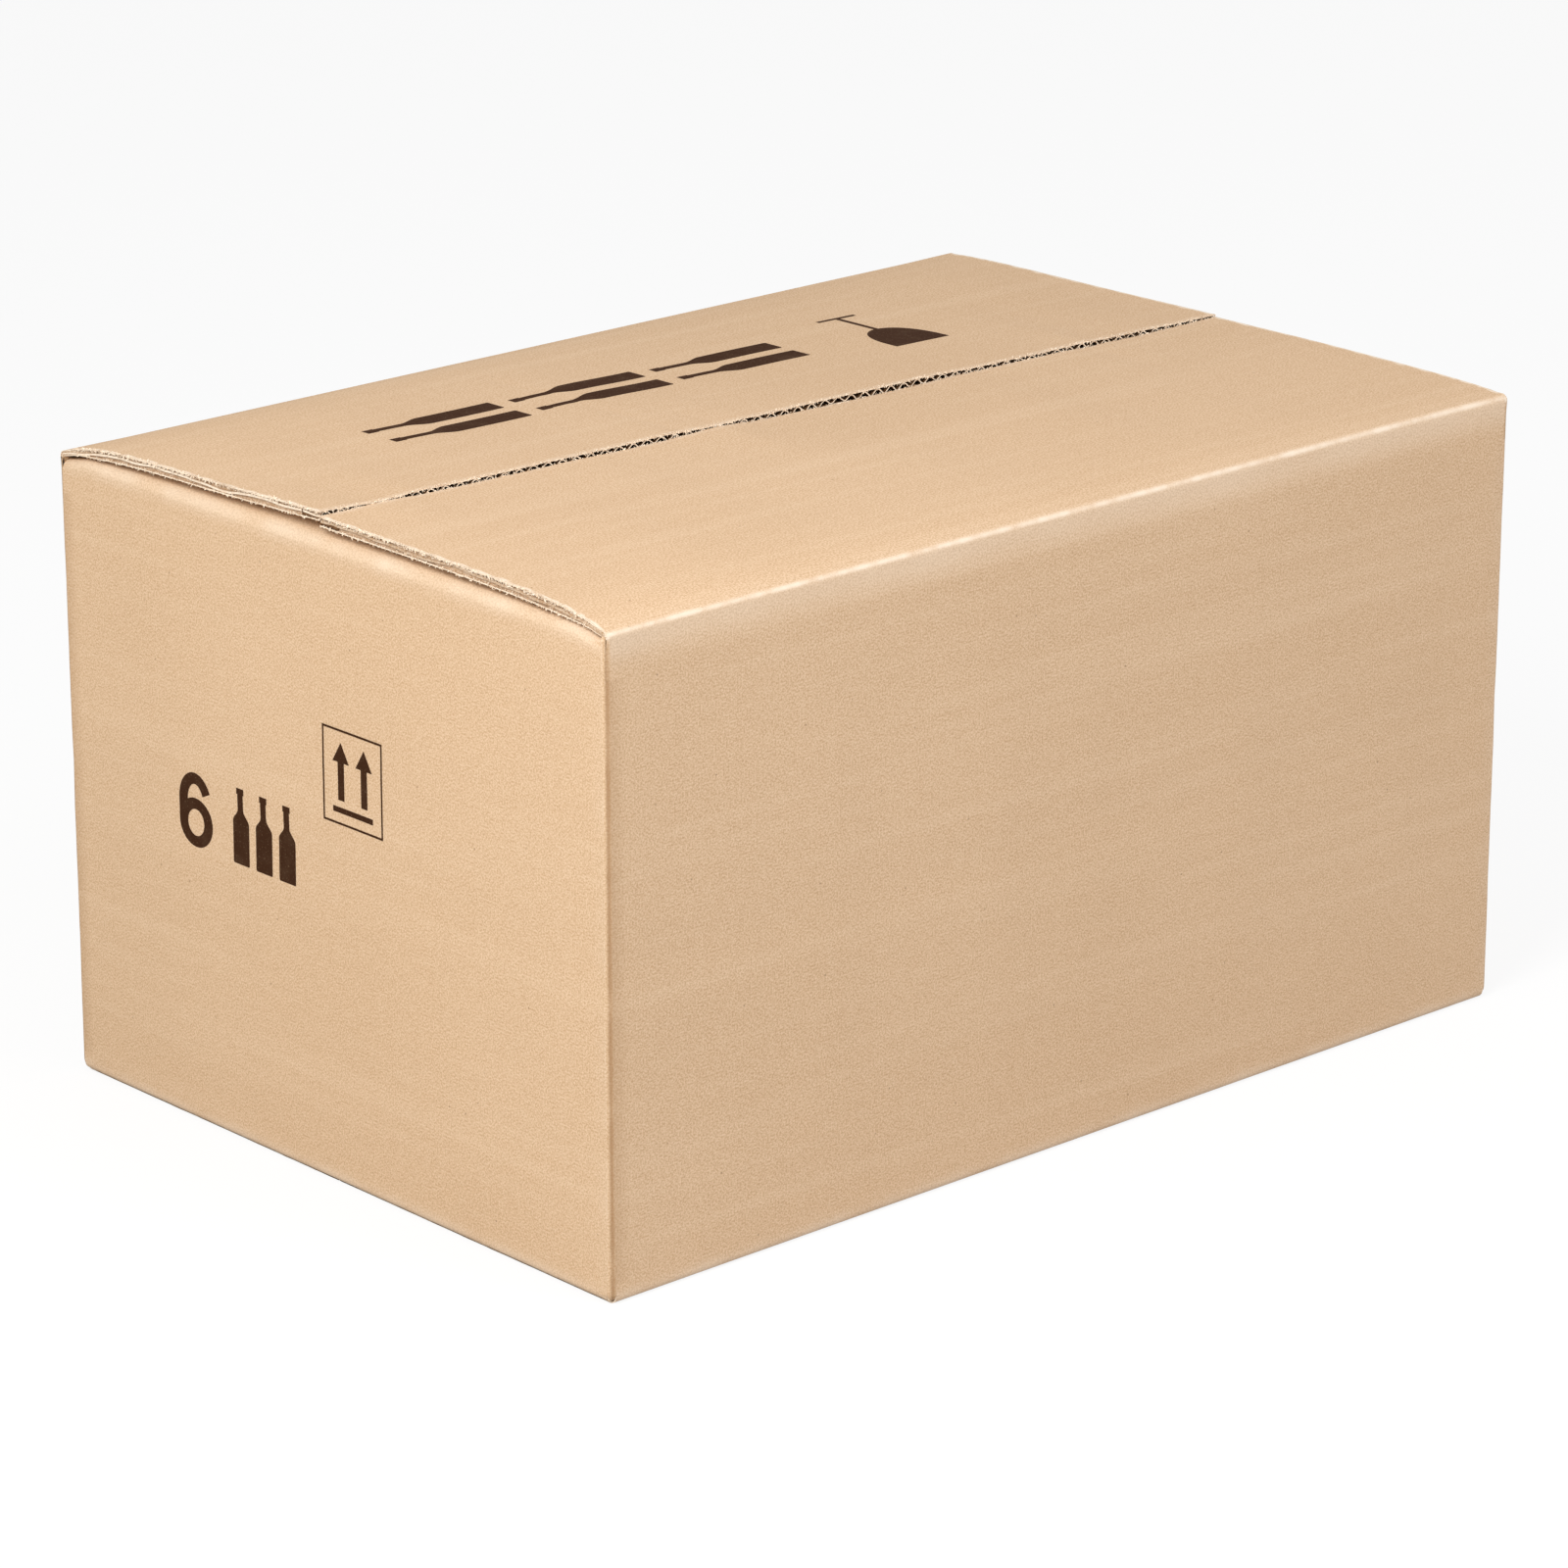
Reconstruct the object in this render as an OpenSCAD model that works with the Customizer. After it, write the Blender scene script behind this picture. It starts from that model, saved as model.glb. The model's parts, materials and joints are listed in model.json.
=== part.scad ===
// Bottle shipping box: a slotted carton of corrugated board with board inserts for lying bottles
// Millimetres. X runs along the box, Y across it, Z up; the origin is under the middle of the base

/* [Box] */
// Outer length of the box
box_l = 420; // [360:1:500]
// Outer width of the box
box_w = 285; // [240:1:340]
// Height of the folds that carry the outer top flaps
box_h = 226; // [190:1:280]
// Thickness of the corrugated board
board_t = 3.4; // [2.6:0.1:4.4]

/* [Folds and corners] */
// Inner radius of a folded corner
fold_inner_r = 0.6; // [0.3:0.1:1.5]
// Outer radius of the soft roll over each end panel
roll_r = 7; // [5:0.5:10]
// How far a flap stays in from the start of a corner's bend
slot_clear = 1.4; // [0.6:0.1:4]
// How far a corner's cut end lies below the top fold and above the bottom flaps
slot_root = 3; // [1:0.5:6]
// Gap between two flaps that meet
seam_gap = 1; // [0.6:0.1:3]

/* [Glued corner] */
// Width of the glue tab
tab_w = 35; // [25:1:45]
// How much shorter the glue tab is than the corner at each end
tab_trim = 6; // [3:1:15]
// How far the raw edge of the back panel stays in from the corner
lap_set = 1.5; // [0.5:0.1:3]

/* [Outer top flaps] */
// Rise of the flaps' free edges above their folds
flap_rise = 5.5; // [2:0.5:10]
// How much the board is crushed at the score of a flap
score_crush = 0.8; // [0.4:0.1:1]
// Distance over which the crushed board gets back its thickness
score_run = 20; // [10:1:40]
// Radius of the rounded bead of board that the flap turns on
bead_r = 0.9; // [0.6:0.05:1.1]
// Running gap around the bead
bead_gap = 0.2; // [0.1:0.05:0.4]
// Gap between the flap and the panel at the inside of the fold
mitre_gap = 0.3; // [0.2:0.05:0.6]
// Largest opening angle of an outer flap
open_deg = 210; // [180:1:230]
// Angle left free between flap and panel at the largest opening
open_clear_deg = 4; // [2:1:8]
// Gap between an outer flap and the inner flaps under it
flap_rest_gap = 0.4; // [0.3:0.1:2]

/* [Flutes] */
// Distance from one flute to the next
flute_pitch = 6.3; // [5:0.1:8]
// Flat width of a flute's crest
flute_crest = 1.4; // [0.8:0.1:2]
// Thickness of each liner
liner_t = 0.5; // [0.3:0.05:0.6]
// Thickness of the fluted sheet between the liners
medium_t = 0.45; // [0.3:0.05:0.6]
// Depth of the open flutes behind a flap's free edge
flute_depth = 12; // [6:1:20]
// Depth of the slit between the liners at a flap's cut ends
slit_depth = 1.5; // [0.5:0.1:3]

/* [Inserts] */
// Number of bottles that lie side by side in a layer
bottles_across = 3; // [2:1:3]
// Depth of each folded end buffer
buffer_d = 36; // [25:1:45]
// Clear gap inside each double ridge of a tray
ridge_gap = 2; // [1:0.5:5]
// Gap between an insert and the panels or the tab beside it
side_clear = 0.5; // [0.3:0.1:3]
// Gap between the trays and the end buffers
tray_clear = 1; // [0.5:0.5:5]
// Gap between the inserts and the inner top flaps or the bends over them
roof_clear = 0.9; // [0.5:0.1:5]

/* [Hidden] */
$fn = 48;

outer_kraft = [0.83, 0.69, 0.53];
flap_kraft = [0.85, 0.72, 0.57];
insert_kraft = [0.74, 0.60, 0.44];

// Plan of the flaps, measured inward from the outer face of the panel that carries them
fold_r = board_t + fold_inner_r;
slot = fold_r + slot_clear;
flap_reach = box_w / 2 - seam_gap / 2;
long_half = box_l / 2 - slot;
end_half = box_w / 2 - slot;

// Axis of a top fold, as far in from the outer face as it lies below the fold's top
axis_in = fold_r - (fold_r - bead_r) * cos(45);
relief_deg = 135 - (open_deg + open_clear_deg) / 2;
bevel_in = axis_in + axis_in / tan(relief_deg);
score_t = board_t - score_crush;
curve_steps = 14;

// Levels of the inner flaps and of the space between them
drop_steps = [for (i = [0 : curve_steps]) flap_p(i)];
inner_drop = max([for (p = drop_steps) flap_thickness(p) - flap_lift(p)]) + flap_rest_gap;
inner_top = box_h - inner_drop;
roof_z = inner_top - board_t;
floor_z = 2 * board_t;
post_low = board_t + slot_root;
post_high = box_h - slot_root;

// Inserts
inside_x = box_l / 2 - board_t;
insert_half_w = box_w / 2 - 2 * board_t - side_clear;
insert_w = 2 * insert_half_w;
insert_h = roof_z - roof_clear - floor_z;
buffer_out = inside_x - fold_inner_r - side_clear;
buffer_h = inner_top - roll_r - roof_clear - floor_z;
tray_l = 2 * (buffer_out - buffer_d - tray_clear);
tray_h = (insert_h - board_t) / 2;
ridge_w = 2 * board_t + ridge_gap;
ridge_r = min(fold_r, ridge_w / 2);
trough_w = (insert_w - 2 * board_t - (bottles_across - 1) * ridge_w) / bottles_across;

// Overlap of cutting shapes past the faces that they cut
cut = 0.4;

function flap_p(i) = bevel_in + (flap_reach - bevel_in) * i / curve_steps;
function flap_part(p) = (p - bevel_in) / (flap_reach - bevel_in);
function flap_lift(p) = flap_rise * (1 - pow(1 - flap_part(p), 3));
function flap_thickness(p) = board_t - score_crush * max(0, 1 - (p - bevel_in) / score_run);

// A section drawn across and up, drawn out along X from one end to the other
module along_x(from, to) {
    translate([from, 0, 0])
        rotate([90, 0, 90])
            linear_extrude(to - from)
                children();
}

// A section drawn along and up, drawn out along Y from one side to the other
module along_y(from, to) {
    translate([0, to, 0])
        rotate([90, 0, 0])
            linear_extrude(to - from)
                children();
}

// Bent board: a quarter ring in the corner of its square, with both legs at the far sides
module bend(outer_r) {
    intersection() {
        square(outer_r);
        translate([outer_r, outer_r])
            difference() {
                circle(outer_r);
                circle(outer_r - board_t);
            }
    }
}

// Corner of a square that a round edge leaves over
module round_off(r) {
    difference() {
        translate([-cut, -cut])
            square(r + cut);
        translate([r, r])
            circle(r);
    }
}

// Rectangle with round corners, centred
module round_rect(size_x, size_y, r) {
    square([size_x - 2 * r, size_y], center = true);
    square([size_x, size_y - 2 * r], center = true);
    for (x = [-1, 1], y = [-1, 1])
        translate([x * (size_x / 2 - r), y * (size_y / 2 - r)])
            circle(r);
}

// Section of a long panel with its bottom flap, up to the bead of its top fold
module long_panel_section() {
    bend(fold_r);
    translate([fold_r, 0])
        square([flap_reach - fold_r, board_t]);
    polygon([
        [0, fold_r],
        [0, box_h - bevel_in],
        [axis_in, box_h - axis_in],
        [board_t, box_h - board_t],
        [board_t, fold_r]
    ]);
    translate([axis_in, box_h - axis_in])
        circle(bead_r);
}

// Section of an end panel with its inner bottom flap, its rolled top and its inner top flap
module end_panel_section() {
    translate([0, board_t]) {
        bend(fold_r);
        translate([fold_r, 0])
            square([flap_reach - fold_r, board_t]);
        translate([0, fold_r])
            square([board_t, inner_top - roll_r - fold_r - board_t]);
    }
    translate([0, inner_top]) {
        mirror([0, 1])
            bend(roll_r);
        translate([roll_r, -board_t])
            square([flap_reach - roll_r, board_t]);
    }
}

// Plan of a vertical corner: the bend and a short leg of each panel up to the slots
module corner_plan() {
    bend(fold_r);
    translate([fold_r, 0])
        square([slot_clear, board_t]);
    translate([0, fold_r])
        square([board_t, slot_clear]);
}

module corner_post() {
    translate([0, 0, post_low])
        linear_extrude(post_high - post_low)
            corner_plan();
}

// The back panel's raw edge lies over the glue tab, which turns in from the right end panel
module glued_corner() {
    translate([box_l / 2, box_w / 2 - board_t, 0])
        rotate([0, 0, 180])
            corner_post();
    translate([long_half, box_w / 2 - board_t, post_low])
        cube([slot - lap_set, board_t, post_high - post_low]);
    translate([box_l / 2 - fold_r - tab_w, box_w / 2 - 2 * board_t, post_low + tab_trim])
        cube([tab_w, board_t, post_high - post_low - 2 * tab_trim]);
}

module carton() {
    color(outer_kraft) {
        for (side = [0, 1])
            mirror([0, side, 0])
                translate([0, -box_w / 2, 0])
                    along_x(-long_half, long_half)
                        long_panel_section();
        translate([-box_l / 2, 0, 0])
            along_y(-end_half, end_half)
                end_panel_section();
        mirror([1, 0, 0])
            translate([-box_l / 2, 0, 0])
                along_y(-end_half, end_half - board_t)
                    end_panel_section();
        for (corner = [[-1, -1], [1, -1], [-1, 1]])
            translate([corner[0] * box_l / 2, corner[1] * box_w / 2, 0])
                mirror([corner[0] > 0 ? 1 : 0, 0, 0])
                    mirror([0, corner[1] > 0 ? 1 : 0, 0])
                        corner_post();
        glued_corner();
    }
}

// Board between the flap's two faces, with the same thickness taken off both
module flap_band(first_step, skin) {
    steps = [for (i = [first_step : curve_steps]) flap_p(i)];
    upper = [for (p = steps) [p, box_h + flap_lift(p) - skin]];
    lower = [for (p = steps) [p, box_h + flap_lift(p) - flap_thickness(p) + skin]];
    polygon(concat(upper, [for (i = [len(lower) - 1 : -1 : 0]) lower[i]]));
}

// Section of an outer top flap, closed round the bead on the panel
module flap_section() {
    difference() {
        union() {
            flap_band(0, 0);
            polygon([
                [axis_in, box_h - axis_in],
                [bevel_in, box_h],
                [bevel_in, box_h - score_t],
                [score_t + mitre_gap, box_h - score_t]
            ]);
        }
        translate([axis_in, box_h - axis_in])
            circle(bead_r + bead_gap);
    }
}

// One open flute, wide towards one liner and narrow towards the other
module flute_hole(base_z, tip_z) {
    wide = flute_pitch / 2 - flute_crest / 2 - medium_t / 2;
    narrow = flute_crest / 2 - medium_t / 2;
    polygon([[-wide, base_z], [wide, base_z], [narrow, tip_z], [-narrow, tip_z]]);
}

// The row of open flutes at a free edge, alternately above and below the fluted sheet
module flute_row() {
    low = box_h + flap_rise - board_t + liner_t;
    high = box_h + flap_rise - liner_t;
    count = floor((long_half - slit_depth) / flute_pitch);
    for (i = [-count : count - 1]) {
        translate([i * flute_pitch + flute_pitch / 4, 0])
            flute_hole(high, low + medium_t);
        translate([i * flute_pitch + flute_pitch * 3 / 4, 0])
            flute_hole(low, high - medium_t);
    }
}

// An outer top flap over the front panel
module outer_flap() {
    translate([0, -box_w / 2, 0])
        difference() {
            along_x(-long_half, long_half)
                flap_section();
            for (side = [-1, 1])
                translate([side * (long_half + cut - slit_depth / 2 - cut / 2), 0, 0])
                    along_x(-(slit_depth + cut) / 2, (slit_depth + cut) / 2)
                        flap_band(1, liner_t);
            along_y(flap_reach - flute_depth, flap_reach + cut)
                flute_row();
        }
}

module front_flap() {
    color(flap_kraft)
        outer_flap();
}

module back_flap() {
    color(flap_kraft)
        mirror([0, 1, 0])
            outer_flap();
}

// Clear space over the floor of one trough, round where the sheet bends
module trough() {
    translate([-trough_w / 2, fold_inner_r])
        square([trough_w, tray_h]);
    translate([-trough_w / 2 + fold_inner_r, 0])
        square([trough_w - 2 * fold_inner_r, 2 * fold_inner_r]);
    for (side = [-1, 1])
        translate([side * (trough_w / 2 - fold_inner_r), fold_inner_r])
            circle(fold_inner_r);
}

// Section of a tray: one sheet folded down, along and up again round each bottle
module tray_section() {
    pitch = trough_w + ridge_w;
    first = -insert_half_w + board_t;
    difference() {
        translate([-insert_half_w, 0])
            square([insert_w, tray_h]);
        for (i = [0 : bottles_across - 1])
            translate([first + i * pitch + trough_w / 2, board_t])
                trough();
        for (i = [0 : bottles_across - 1], side = [0, 1])
            translate([first + i * pitch + trough_w / 2, 0])
                mirror([side, 0])
                    translate([-trough_w / 2 - board_t, 0])
                        round_off(fold_r);
        for (i = [1 : bottles_across - 1])
            translate([first + i * pitch - ridge_w / 2, 0]) {
                translate([-ridge_gap / 2, -cut])
                    square([ridge_gap, tray_h - board_t + cut]);
                for (side = [0, 1])
                    mirror([side, 0])
                        translate([-ridge_w / 2, tray_h])
                            mirror([0, 1])
                                round_off(ridge_r);
            }
    }
}

module tray(base_z) {
    translate([0, 0, base_z])
        along_x(-tray_l / 2, tray_l / 2)
            tray_section();
}

module lower_tray() {
    color(insert_kraft)
        tray(floor_z);
}

module layer_pad() {
    color(insert_kraft)
        translate([-tray_l / 2, -insert_half_w, floor_z + tray_h])
            cube([tray_l, insert_w, board_t]);
}

module upper_tray() {
    color(insert_kraft)
        tray(floor_z + tray_h + board_t);
}

// Sheet folded into a standing tube at the left end, its two edges meeting beside the end panel
module end_buffer() {
    translate([-buffer_out + buffer_d / 2, 0, floor_z])
        linear_extrude(buffer_h)
            difference() {
                round_rect(buffer_d, insert_w, fold_r);
                round_rect(buffer_d - 2 * board_t, insert_w - 2 * board_t, fold_inner_r);
                translate([-buffer_d / 2 - cut, -seam_gap / 2])
                    square([board_t + 2 * cut, seam_gap]);
            }
}

module left_end_buffer() {
    color(insert_kraft)
        end_buffer();
}

module right_end_buffer() {
    color(insert_kraft)
        mirror([1, 0, 0])
            end_buffer();
}

carton();
front_flap();
back_flap();
lower_tray();
layer_pad();
upper_tray();
left_end_buffer();
right_end_buffer();
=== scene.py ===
import json
import math
import bmesh
import bpy
import numpy as np
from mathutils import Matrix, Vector


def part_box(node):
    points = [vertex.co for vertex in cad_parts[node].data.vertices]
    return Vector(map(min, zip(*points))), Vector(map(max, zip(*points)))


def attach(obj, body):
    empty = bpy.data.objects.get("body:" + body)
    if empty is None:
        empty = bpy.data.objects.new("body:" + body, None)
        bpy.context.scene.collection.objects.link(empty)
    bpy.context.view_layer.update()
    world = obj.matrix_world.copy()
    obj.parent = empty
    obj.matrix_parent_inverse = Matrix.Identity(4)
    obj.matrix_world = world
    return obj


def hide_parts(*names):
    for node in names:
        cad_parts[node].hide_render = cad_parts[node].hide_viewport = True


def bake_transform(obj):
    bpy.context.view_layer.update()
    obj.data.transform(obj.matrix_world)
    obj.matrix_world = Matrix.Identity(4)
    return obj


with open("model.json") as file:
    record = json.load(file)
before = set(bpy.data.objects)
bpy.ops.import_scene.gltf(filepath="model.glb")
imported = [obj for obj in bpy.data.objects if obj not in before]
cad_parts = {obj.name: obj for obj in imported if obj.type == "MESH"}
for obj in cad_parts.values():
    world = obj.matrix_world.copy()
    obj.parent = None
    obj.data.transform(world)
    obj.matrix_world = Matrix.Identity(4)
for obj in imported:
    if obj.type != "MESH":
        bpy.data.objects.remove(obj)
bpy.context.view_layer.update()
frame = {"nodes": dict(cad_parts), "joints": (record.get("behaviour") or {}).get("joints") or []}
scene = bpy.context.scene
print("frame loaded:", ", ".join(sorted(frame["nodes"])))

# The board, in millimetres
toMetres = 0.001
board = {
    "thick": 3.4,
    "liner": 0.42,
    "fluteThick": 0.45,
    "flutePitch": 6.3,
    "bend": 3.0,          # outer radius of a bottom fold
    "corner": 2.2,        # outer radius of an upright corner
    "roll": 3.6,          # outer radius of the soft roll over an end panel
    "rollDrop": 1.0,      # that roll lies this far below the top folds
    "tip": 0.8,           # the corners' rounded ends stop short of the folds
    "tipRound": 3.2,
    "lapSet": 0.5,        # raw edge of the back panel, in from the corner
    "tabWidth": 35.0,
    "tabTrim": 6.0,
    "footLift": 0.4,      # the inner bottom flaps fold at this height, over the pressed outer ones
    "endSet": 0.8,        # cut ends of the outer top flaps, in from the end panels
    "seamClose": 0.3,     # their free edges lie closer together than in the frame
    "footStrip": 1.5,     # the panels' straight part starts above the bottom folds
    "topStrip": 16.0,     # and ends below the top folds, where the flaps' strips begin
}
thick = board["thick"]

# Sizes of the box, from the frame
cartonLow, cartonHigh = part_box("carton")
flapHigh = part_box("front_flap")[1]
frontHinge = next(j for j in frame["joints"] if j["child"] == "front_flap")
boxLength = (cartonHigh.x - cartonLow.x) / toMetres
boxWidth = (cartonHigh.y - cartonLow.y) / toMetres
axisIn = boxWidth / 2 + frontHinge["pos_m"][1] / toMetres
ridge = frontHinge["pos_m"][2] / toMetres + axisIn    # height of the top folds
meanRise = flapHigh.z / toMetres - ridge              # rise of the flaps' free edges
flapHalf = boxLength / 2 - board["endSet"]            # cut ends of the outer top flaps
flapReach = boxWidth / 2 + flapHigh.y / toMetres + board["seamClose"]
endHalf = boxWidth / 2 - board["corner"]              # cut ends of the flaps on the end panels
footHalf = boxLength / 2 - board["corner"]            # cut ends of the outer bottom flaps
innerTop = ridge - board["rollDrop"]
panelLow = thick + board["bend"] + board["footStrip"]
panelHigh = ridge - board["topStrip"]
# the looks for open flutes and slits are dark tones, painted shade of the grooves
lookOf = {"liner": 0, "inside": 1, "cut": 2, "flute": 3, "slit": 4}
waveRates = (1.0, 1.73, 2.61, 4.37)
pathStep, bendPoints = 2.0, 13      # spacing on a path, and points on a bend


# Smooth wandering line from a few waves with seeded phases, about -1 to 1
def wander(value, size, seed):
    phases = np.random.default_rng(seed).uniform(0, 2 * math.pi, len(waveRates))
    total = np.zeros_like(np.asarray(value, float))
    for rate, phase in zip(waveRates, phases):
        total += np.sin(np.asarray(value) / size * 2 * math.pi * rate + phase) / rate ** 0.7
    return total / 1.9


def smoothStep(value, low, high):
    t = np.clip((np.asarray(value, float) - low) / (high - low), 0, 1)
    return t * t * (3 - 2 * t)


def hump(value, middle, width):
    return np.exp(-((value - middle) / width) ** 2)


# A path of lines and arcs, as arrays of run length, place and left-hand normal
def tracePath(parts):
    places = []
    for part in parts:
        if part[0] == "line":
            start, end = np.array(part[1], float), np.array(part[2], float)
            count = max(2, int(np.linalg.norm(end - start) / pathStep) + 1)
            run = [start + (end - start) * t for t in np.linspace(0, 1, count)]
        else:
            centre, radius, first, last = np.array(part[1], float), part[2], part[3], part[4]
            angles = np.radians(np.linspace(first, last, bendPoints))
            run = [centre + radius * np.array((math.cos(t), math.sin(t))) for t in angles]
        places += run if not places else run[1:]
    places = np.array(places)
    steps = np.linalg.norm(np.diff(places, axis=0), axis=1)
    tangent = np.gradient(places, axis=0)
    tangent /= np.linalg.norm(tangent, axis=1)[:, None]
    normal = np.stack([-tangent[:, 1], tangent[:, 0]], axis=1)
    return {"run": np.concatenate([[0], np.cumsum(steps)]), "place": places, "normal": normal}


def pathAt(path, run):
    place = [np.interp(run, path["run"], path["place"][:, i]) for i in (0, 1)]
    normal = [np.interp(run, path["run"], path["normal"][:, i]) for i in (0, 1)]
    return place[0], place[1], normal[0], normal[1]


# Values from a start to each mark in turn, in even steps of about the size given with it
def stepsTo(start, *marks):
    values = [start]
    for mark, step in marks:
        count = max(1, int(round(abs(mark - values[-1]) / step)))
        values += list(np.linspace(values[-1], mark, count + 1)[1:])
    return np.array(values)


# Mesh data gathered from many grids before it becomes one object
def newBuild():
    return {"points": [], "faces": [], "uvs": [], "looks": [], "wearAndPaintedLight": [], "count": 0}


def addGrid(build, points, uvs, facing, look, wearAndPaintedLight=None):
    rows, columns = points.shape[:2]
    base = build["count"]
    normals = np.cross(points[1:, :-1] - points[:-1, :-1], points[:-1, 1:] - points[:-1, :-1])
    toward = np.broadcast_to(facing, points.shape)[:-1, :-1]
    turn = (normals * toward).sum() < 0
    build["points"].append(points.reshape(-1, 3))
    build["wearAndPaintedLight"].append(np.zeros(rows * columns) if wearAndPaintedLight is None else wearAndPaintedLight.reshape(-1))
    index = base + np.arange(rows * columns).reshape(rows, columns)
    corners = [index[:-1, :-1], index[1:, :-1], index[1:, 1:], index[:-1, 1:]]
    quads = np.stack(corners[::-1] if turn else corners, axis=-1).reshape(-1, 4)
    build["faces"].append(quads)
    build["uvs"].append(uvs.reshape(-1, 2)[quads - base])
    build["looks"].append(np.full(len(quads), look))
    build["count"] += rows * columns


# A stretch of board between two faces. place(a, b, n) gives a point n deep under the outer face,
# and edges names the cut sides, each with its profile of depth into the board
def addBoard(build, place, aValues, bValues, mapUv, edges=(), wearAndPaintedLight=None):
    a, b = np.meshgrid(aValues, bValues, indexing="ij")
    outer = place(a, b, np.zeros_like(a))
    inner = place(a, b, np.full_like(a, thick))
    uvs = mapUv(a, b)
    shade = wearAndPaintedLight(a, b) if wearAndPaintedLight else None
    addGrid(build, outer, uvs, outer - inner, lookOf["liner"], shade)
    addGrid(build, inner, uvs, inner - outer, lookOf["inside"])
    for side, profile, *cutFrom in edges:
        alongB = side in ("aLow", "aHigh")
        run, ends = (bValues, aValues) if alongB else (aValues, bValues)
        fixed, sign = (ends[0], 1) if side.endswith("Low") else (ends[-1], -1)
        if cutFrom:
            run = run[run >= cutFrom[0] - 0.001]
        deep, inset, shadedSunkLook = profile(run)
        moved = fixed + sign * inset
        across = np.broadcast_to(run, deep.shape)
        pair = (moved, across) if alongB else (across, moved)
        points = place(pair[0], pair[1], deep)
        middle = deep.shape[1] // 2
        further = [np.array([v[0, middle] + (sign * 2 if v is moved else 0)]) for v in pair]
        outward = points[0, middle] - place(*further, deep[0, middle:middle + 1])[0]
        uvs = mapUv(pair[0], pair[1])
        for row in range(len(deep) - 1):
            # faces sunk into the cut take a darker look, painted shade of the groove
            sunk = max(inset[row].max(), inset[row + 1].max()) > cut["sunk"] * inset.max()
            look = shadedSunkLook if sunk else lookOf["cut"]
            addGrid(build, points[row:row + 2], uvs[row:row + 2], faceOut(points, row, outward), look)


# Faces of a cut edge look out of it, and a groove's walls look into the groove
def faceOut(points, row, outward):
    middle = points.shape[1] // 2
    step = points[row + 1, middle] - points[row, middle]
    across = points[-1, middle] - points[0, middle]
    outward = outward / np.linalg.norm(outward)
    across = across - outward * np.dot(across, outward)
    across /= np.linalg.norm(across)
    return outward * np.dot(step, across) - across * np.dot(step, outward)


cut = {
    "slit": 1.0,          # depth of the groove between the liners in a cut along the flutes
    "tip": 0.6,           # the same at the corners' rounded ends
    "tab": 2.0,           # depth of the open flutes at the ends of the glue tab
    "shut": 0.12,         # share of the groove that stays open beside a fold
    "shutRun": (4.0, 22.0),
    "stray": 0.22,        # the fluted sheet's edge strays from the middle of the board
    "lip": 0.25,          # and stands back by this share of the groove
    "fray": 0.12,
    # sunk faces take a dark tone, painted shade of the groove
    "sunk": 0.55,         # faces further in than this share of the depth count as sunk
}


# Cut along the flutes: two liner edges with the fluted sheet's ragged edge between, and painted shade on its
# sunk faces
def slitProfile(seed, depth=cut["slit"], foldAt=None):
    liner, half, slope = board["liner"], 0.8 * board["fluteThick"], 0.15

    def profile(run):
        full = np.full_like(run, depth)
        if foldAt is not None:            # pressed shut by the fold
            first, last = cut["shutRun"]
            full = depth * (cut["shut"] + (1 - cut["shut"]) * smoothStep(run, foldAt + first, foldAt + last))
        zero = np.zeros_like(run)
        back = zero + thick
        middle = thick * (0.5 + cut["stray"] * wander(run, 70, seed))
        lip = full * cut["lip"] * (1 + wander(run, 9, seed + 1))
        fray = cut["fray"] * wander(run, 3.1, seed + 2) + 0.1 * wander(run, 1.3, seed + 3)
        less = -0.7 * fray
        deep = [zero, zero, zero + liner, zero + liner, middle - half - slope, middle - half,
                middle + half, middle + half + slope, back - liner, back - liner, back, back]
        inset = [zero, fray, fray, full, full, lip, lip, full, full, less, less, zero]
        return np.array(deep), np.array(inset), lookOf["slit"]
    return profile


# Cut across the flutes: both liners stand free over the open flutes, and their sunk faces take painted shade
def openProfile(seed, depth):
    liner = board["liner"]

    def profile(run):
        zero = np.zeros_like(run)
        back = zero + thick
        full = np.full_like(run, depth)
        fray = cut["fray"] * wander(run, 4.1, seed) + 0.08 * wander(run, 1.7, seed + 1)
        deep = [zero, zero, zero + liner, zero + liner, back - liner, back - liner, back, back]
        inset = [zero, fray, fray, full, full, -fray, -fray, zero]
        return np.array(deep), np.array(inset), lookOf["flute"]
    return profile


def addObject(name, data):
    item = bpy.data.objects.new(name, data)
    scene.collection.objects.link(item)
    return item


# Welds points that meet, within a distance in metres
def weldMesh(mesh, distance, turnOut=False):
    work = bmesh.new()
    work.from_mesh(mesh)
    bmesh.ops.remove_doubles(work, verts=work.verts, dist=distance)
    if turnOut:
        bmesh.ops.recalc_face_normals(work, faces=work.faces)
    work.to_mesh(mesh)
    work.free()


# One object from the gathered grids
def finishMesh(name, build, looks):
    mesh = bpy.data.meshes.new(name)
    points = np.concatenate(build["points"]) * toMetres
    faces = np.concatenate(build["faces"])
    mesh.from_pydata(points.tolist(), [], faces.tolist())
    layer = mesh.uv_layers.new(name="board")
    layer.data.foreach_set("uv", (np.concatenate(build["uvs"]) * toMetres).astype(np.float32).ravel())
    mesh.polygons.foreach_set("material_index", np.concatenate(build["looks"]).astype(np.int32))
    # Per point: worn and torn board, with painted highlight on the folds and painted shade in the creases
    mesh.attributes.new("wearAndPaintedLight", "FLOAT", "POINT").data.foreach_set(
        "value", np.concatenate(build["wearAndPaintedLight"]).astype(np.float32))
    for look in looks:
        mesh.materials.append(look)
    weldMesh(mesh, 0.00002)
    mesh.set_sharp_from_angle(angle=math.radians(40))
    return addObject(name, mesh)


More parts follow.
